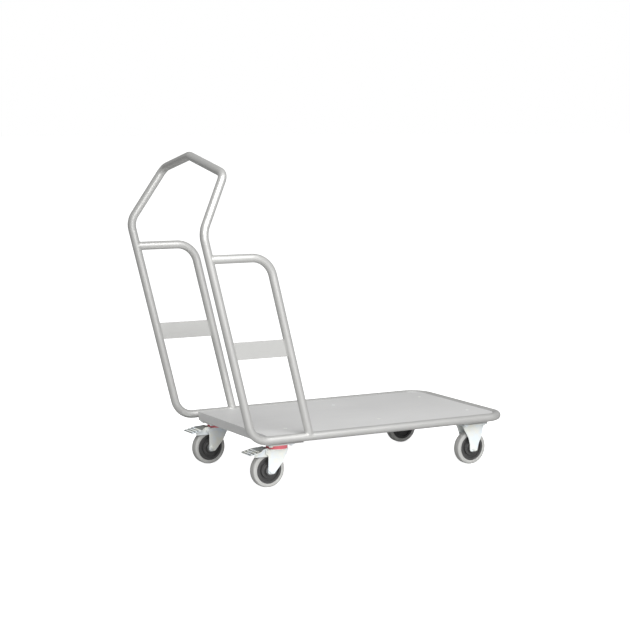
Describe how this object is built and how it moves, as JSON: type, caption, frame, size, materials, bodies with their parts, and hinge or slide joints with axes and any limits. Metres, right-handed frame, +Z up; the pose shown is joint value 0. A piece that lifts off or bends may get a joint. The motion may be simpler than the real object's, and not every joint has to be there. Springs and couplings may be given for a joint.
{
  "type": "platform truck",
  "caption": "Flatbed platform truck: tube frame with sheet deck, side guards and peaked push handle, rolling on fixed and braked swivel casters.",
  "frame": {"origin": "on the floor under the middle of the overall box", "axes": "+X forwards, away from the push handle, +Y to the left, +Z up"},
  "size_m": [1.2919, 0.6, 1.1613],
  "materials": {
    "frame_paint": "satin silver-grey powder coat",
    "deck_paint": "satin grey powder coat",
    "zinc": "bright zinc plating",
    "bare_steel": "ground and greased steel",
    "grey_tyre": "matte non-marking grey rubber",
    "dark_core": "moulded dark grey plastic",
    "red_seal": "moulded red plastic"
  },
  "bodies": {
    "frame": {"platform_hoop": "frame_paint", "left_upright": "frame_paint", "right_upright": "frame_paint", "push_handle": "frame_paint", "left_guard": "frame_paint", "right_guard": "frame_paint", "left_strip": "frame_paint", "right_strip": "frame_paint", "deck": "deck_paint", "rear_channel": "frame_paint", "middle_bearer": "frame_paint", "front_channel": "frame_paint", "deck_screws": "zinc", "deck_nuts": "zinc", "caster_bolts": "zinc", "caster_nuts": "zinc", "front_left_bracket": "zinc", "front_right_bracket": "zinc", "front_left_sleeve": "zinc", "front_right_sleeve": "zinc", "front_axle_bolts": "zinc", "front_axle_nuts": "zinc", "rear_left_plate": "zinc", "rear_left_race": "bare_steel", "rear_left_kingpin": "bare_steel", "rear_right_plate": "zinc", "rear_right_race": "bare_steel", "rear_right_kingpin": "bare_steel"},
    "front_left_wheel": {"front_left_bearing": "bare_steel", "front_left_core": "dark_core", "front_left_tyre": "grey_tyre"},
    "rear_left_swivel": {"rear_left_fork": "zinc", "rear_left_balls": "bare_steel", "rear_left_seal": "red_seal", "rear_left_sleeve": "zinc", "rear_left_axle_bolt": "zinc", "rear_left_axle_nut": "zinc", "rear_left_pedal_pin": "zinc"},
    "rear_left_wheel": {"rear_left_bearing": "bare_steel", "rear_left_core": "dark_core", "rear_left_tyre": "grey_tyre"},
    "rear_left_brake": {"rear_left_pedal": "zinc", "rear_left_brake_shoe": "bare_steel"},
    "front_right_wheel": {"front_right_bearing": "bare_steel", "front_right_core": "dark_core", "front_right_tyre": "grey_tyre"},
    "rear_right_swivel": {"rear_right_fork": "zinc", "rear_right_balls": "bare_steel", "rear_right_seal": "red_seal", "rear_right_sleeve": "zinc", "rear_right_axle_bolt": "zinc", "rear_right_axle_nut": "zinc", "rear_right_pedal_pin": "zinc"},
    "rear_right_wheel": {"rear_right_bearing": "bare_steel", "rear_right_core": "dark_core", "rear_right_tyre": "grey_tyre"},
    "rear_right_brake": {"rear_right_pedal": "zinc", "rear_right_brake_shoe": "bare_steel"}
  },
  "joints": [
    {"name": "rear_left_swivel", "type": "hinge", "parent": "frame", "child": "rear_left_swivel", "pos_m": [-0.312, 0.223, 0.137], "axis": [0, 0, 1], "continuous": true},
    {"name": "rear_left_wheel_spin", "type": "hinge", "parent": "rear_left_swivel", "child": "rear_left_wheel", "pos_m": [-0.35, 0.223, 0.0625], "axis": [0, 1, 0], "continuous": true},
    {"name": "rear_left_brake", "type": "hinge", "parent": "rear_left_swivel", "child": "rear_left_brake", "pos_m": [-0.362, 0.223, 0.132], "axis": [0, -1, 0], "range_deg": [0, 12]},
    {"name": "front_left_wheel_spin", "type": "hinge", "parent": "frame", "child": "front_left_wheel", "pos_m": [0.5105, 0.232, 0.0625], "axis": [0, 1, 0], "continuous": true},
    {"name": "rear_right_swivel", "type": "hinge", "parent": "frame", "child": "rear_right_swivel", "pos_m": [-0.312, -0.223, 0.137], "axis": [0, 0, 1], "continuous": true},
    {"name": "rear_right_wheel_spin", "type": "hinge", "parent": "rear_right_swivel", "child": "rear_right_wheel", "pos_m": [-0.35, -0.223, 0.0625], "axis": [0, 1, 0], "continuous": true},
    {"name": "rear_right_brake", "type": "hinge", "parent": "rear_right_swivel", "child": "rear_right_brake", "pos_m": [-0.362, -0.223, 0.132], "axis": [0, -1, 0], "range_deg": [0, 12]},
    {"name": "front_right_wheel_spin", "type": "hinge", "parent": "frame", "child": "front_right_wheel", "pos_m": [0.5105, -0.232, 0.0625], "axis": [0, 1, 0], "continuous": true}
  ]
}
